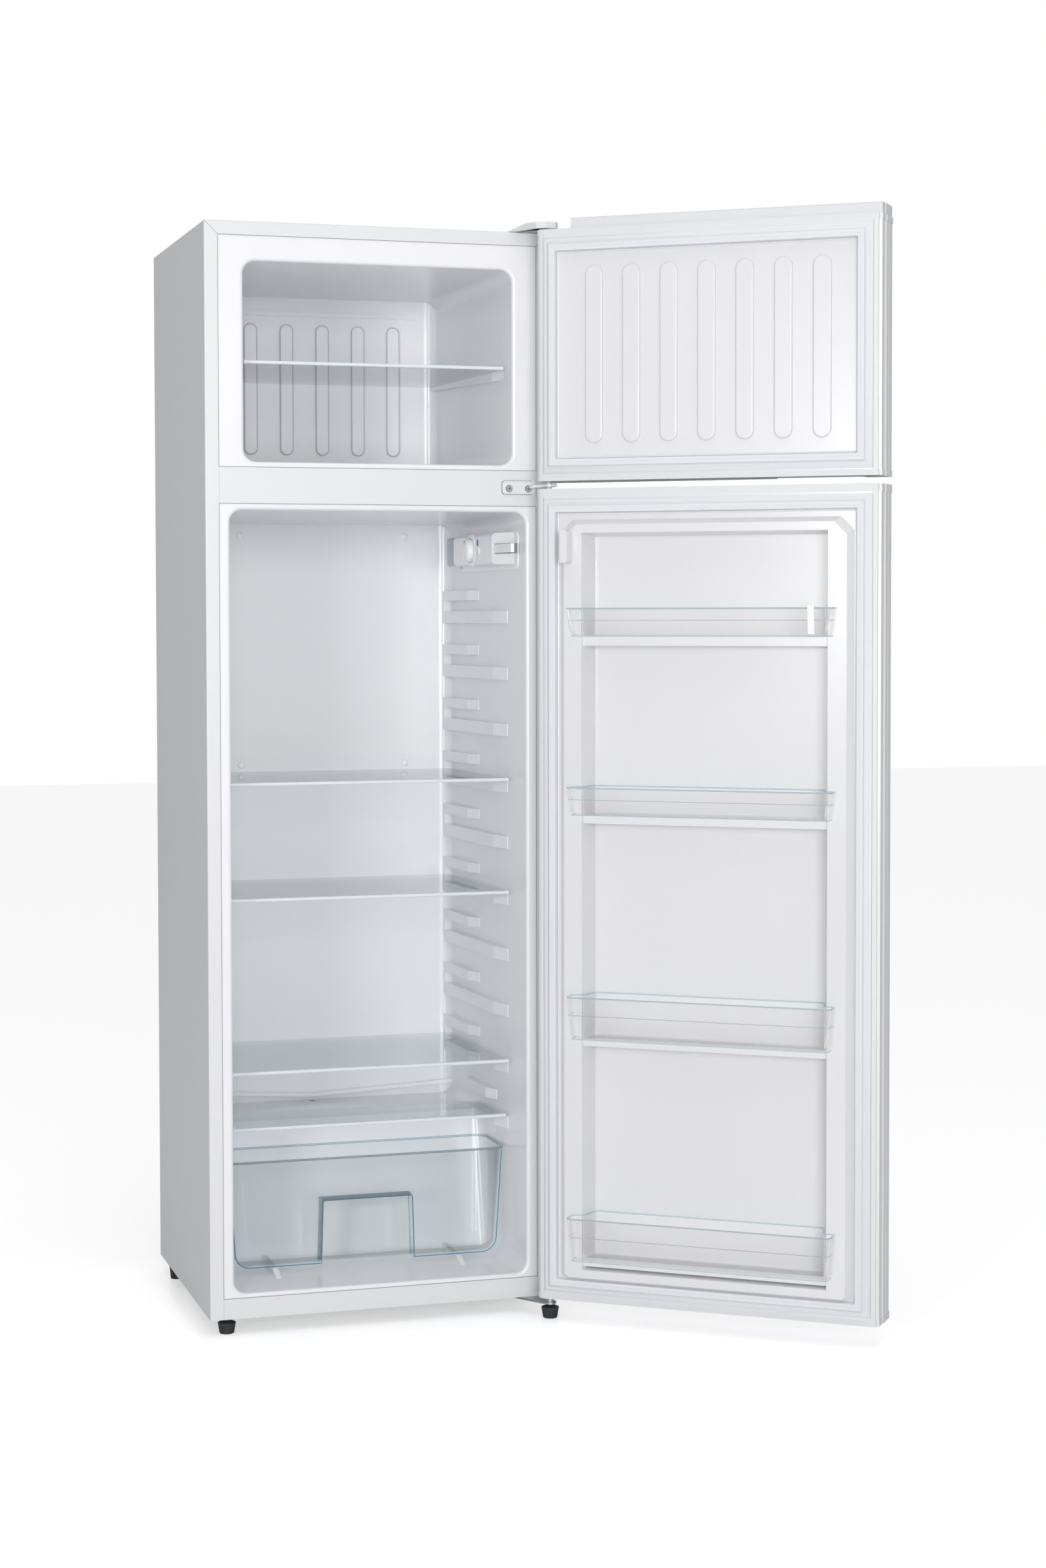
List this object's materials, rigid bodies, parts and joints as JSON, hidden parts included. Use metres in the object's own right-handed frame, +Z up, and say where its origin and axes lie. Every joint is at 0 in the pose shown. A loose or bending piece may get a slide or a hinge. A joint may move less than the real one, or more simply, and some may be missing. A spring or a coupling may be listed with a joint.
{
  "type": "top freezer refrigerator",
  "caption": "Upright two-door refrigerator with a freezer compartment above, glass shelves, a crisper drawer and door bins, shown with both doors open.",
  "frame": {"origin": "on the floor under the middle of the cabinet width, in the plane of the cabinet front flange", "axes": "+X towards the hinge side, +Y into the cabinet towards its back, +Z up"},
  "size_m": [0.9833, 0.8619, 1.716],
  "materials": {
    "shell_paint": "smooth white powder coat, slight gloss",
    "zinc_steel": "galvanised sheet",
    "foam": "cut polyurethane foam",
    "liner": "vacuum formed polystyrene, glossy",
    "white_plastic": "moulded, semi gloss",
    "hinge_white": "white enamel",
    "screw_steel": "zinc plated",
    "black_enamel": "black enamel",
    "rubber": "moulded rubber",
    "dark_plastic": "moulded, fine texture",
    "black_wire": "dipped black enamel",
    "copper_tube": "drawn copper",
    "evaporator": "rolled sheet",
    "frosted": "frosted moulded lens",
    "bulb_glass": "clear glass",
    "shelf_glass": "clear float glass",
    "shelf_trim": "satin edge strip",
    "clear_drawer": "clear injection moulded polystyrene",
    "clear_bin": "clear injection moulded polystyrene",
    "gasket": "soft white vinyl",
    "cap_plastic": "moulded end cap",
    "foot_plastic": "moulded, fine texture"
  },
  "bodies": {
    "cabinet": {"outer_shell": "shell_paint", "rear_panel": "zinc_steel", "insulation": "foam", "freezer_liner": "liner", "fridge_liner": "liner", "centre_rail": "shell_paint", "bottom_rail": "shell_paint", "compartment_panel": "zinc_steel", "top_hinge": "zinc_steel", "top_hinge_cover": "white_plastic", "middle_hinge": "hinge_white", "bottom_hinge": "zinc_steel", "hinge_screws": "screw_steel", "base_plate": "zinc_steel", "compressor": "black_enamel", "compressor_grommets": "rubber", "terminal_cover": "dark_plastic", "condenser": "black_wire", "refrigerant_tubes": "copper_tube", "freezer_evaporator": "evaporator", "fridge_evaporator": "evaporator", "drip_tray": "dark_plastic", "drain_tube": "dark_plastic", "control_housing": "white_plastic", "lamp_lens": "frosted", "lamp_bulb": "bulb_glass", "thermostat": "dark_plastic", "rear_feet": "foot_plastic"},
    "freezer_door": {"freezer_door_skin": "shell_paint", "freezer_door_foam": "foam", "freezer_door_liner": "liner", "freezer_door_gasket": "gasket", "freezer_door_top_cap": "cap_plastic", "freezer_door_bottom_cap": "cap_plastic"},
    "fridge_door": {"fridge_door_skin": "shell_paint", "fridge_door_foam": "foam", "fridge_door_liner": "liner", "fridge_door_gasket": "gasket", "fridge_door_top_cap": "cap_plastic", "fridge_door_bottom_cap": "cap_plastic"},
    "freezer_shelf": {"freezer_shelf_glass": "shelf_glass", "freezer_shelf_trim": "shelf_trim"},
    "upper_shelf": {"upper_shelf_glass": "shelf_glass", "upper_shelf_trim": "shelf_trim"},
    "middle_shelf": {"middle_shelf_glass": "shelf_glass", "middle_shelf_trim": "shelf_trim"},
    "lower_shelf": {"lower_shelf_glass": "shelf_glass", "lower_shelf_trim": "shelf_trim"},
    "crisper_cover": {"crisper_cover_glass": "shelf_glass", "crisper_cover_trim": "shelf_trim"},
    "crisper_drawer": {"crisper_drawer": "clear_drawer"},
    "control_knob": {"control_knob": "white_plastic"},
    "lamp_switch": {"lamp_switch": "white_plastic"},
    "left_foot": {"left_foot": "foot_plastic"},
    "right_foot": {"right_foot": "foot_plastic"},
    "door_bin_1": {"door_bin_1": "clear_bin"},
    "door_bin_2": {"door_bin_2": "clear_bin"},
    "door_bin_3": {"door_bin_3": "clear_bin"},
    "door_bin_4": {"door_bin_4": "clear_bin"},
    "bottle_clip": {"bottle_clip": "white_plastic"}
  },
  "joints": [
    {"name": "freezer_door_hinge", "type": "hinge", "parent": "cabinet", "child": "freezer_door", "pos_m": [0.2605, -0.0395, 1.5], "axis": [0, 0, 1], "range_deg": [-143, 3]},
    {"name": "fridge_door_hinge", "type": "hinge", "parent": "cabinet", "child": "fridge_door", "pos_m": [0.2605, -0.0395, 1], "axis": [0, 0, 1], "range_deg": [-143, 3]},
    {"name": "freezer_shelf_slide", "type": "slide", "parent": "cabinet", "child": "freezer_shelf", "axis": [0, -1, 0], "range_m": [0, 0.25]},
    {"name": "upper_shelf_slide", "type": "slide", "parent": "cabinet", "child": "upper_shelf", "axis": [0, -1, 0], "range_m": [0, 0.25]},
    {"name": "middle_shelf_slide", "type": "slide", "parent": "cabinet", "child": "middle_shelf", "axis": [0, -1, 0], "range_m": [0, 0.25]},
    {"name": "lower_shelf_slide", "type": "slide", "parent": "cabinet", "child": "lower_shelf", "axis": [0, -1, 0], "range_m": [0, 0.25]},
    {"name": "crisper_cover_slide", "type": "slide", "parent": "cabinet", "child": "crisper_cover", "axis": [0, -1, 0], "range_m": [0, 0.12]},
    {"name": "crisper_drawer_slide", "type": "slide", "parent": "cabinet", "child": "crisper_drawer", "axis": [0, -1, 0], "range_m": [0, 0.16]},
    {"name": "control_knob_turn", "type": "hinge", "parent": "cabinet", "child": "control_knob", "pos_m": [0.2, 0.215, 1.211], "axis": [1, 0, 0], "range_deg": [-120, 150]},
    {"name": "lamp_switch_rock", "type": "hinge", "parent": "cabinet", "child": "lamp_switch", "pos_m": [0.2135, 0.086, 1.211], "axis": [0, 0, 1], "range_deg": [0, 6], "stiffness_Nm_per_rad": 0.2, "springref_deg": -2.86},
    {"name": "left_foot_turn", "type": "hinge", "parent": "cabinet", "child": "left_foot", "pos_m": [-0.2435, 0.02, 0.01], "axis": [0, 0, 1], "continuous": true},
    {"name": "right_foot_turn", "type": "hinge", "parent": "cabinet", "child": "right_foot", "pos_m": [0.2605, -0.0395, 0.01], "axis": [0, 0, 1], "continuous": true},
    {"name": "door_bin_1_lift", "type": "slide", "parent": "fridge_door", "child": "door_bin_1", "axis": [0, 0, 1], "range_m": [0, 0.025]},
    {"name": "door_bin_2_lift", "type": "slide", "parent": "fridge_door", "child": "door_bin_2", "axis": [0, 0, 1], "range_m": [0, 0.025]},
    {"name": "door_bin_3_lift", "type": "slide", "parent": "fridge_door", "child": "door_bin_3", "axis": [0, 0, 1], "range_m": [0, 0.025]},
    {"name": "door_bin_4_lift", "type": "slide", "parent": "fridge_door", "child": "door_bin_4", "axis": [0, 0, 1], "range_m": [0, 0.025]},
    {"name": "bottle_clip_slide", "type": "slide", "parent": "door_bin_4", "child": "bottle_clip", "axis": [-0.7986, 0.6018, 0], "range_m": [-0.012, 0.345]}
  ]
}
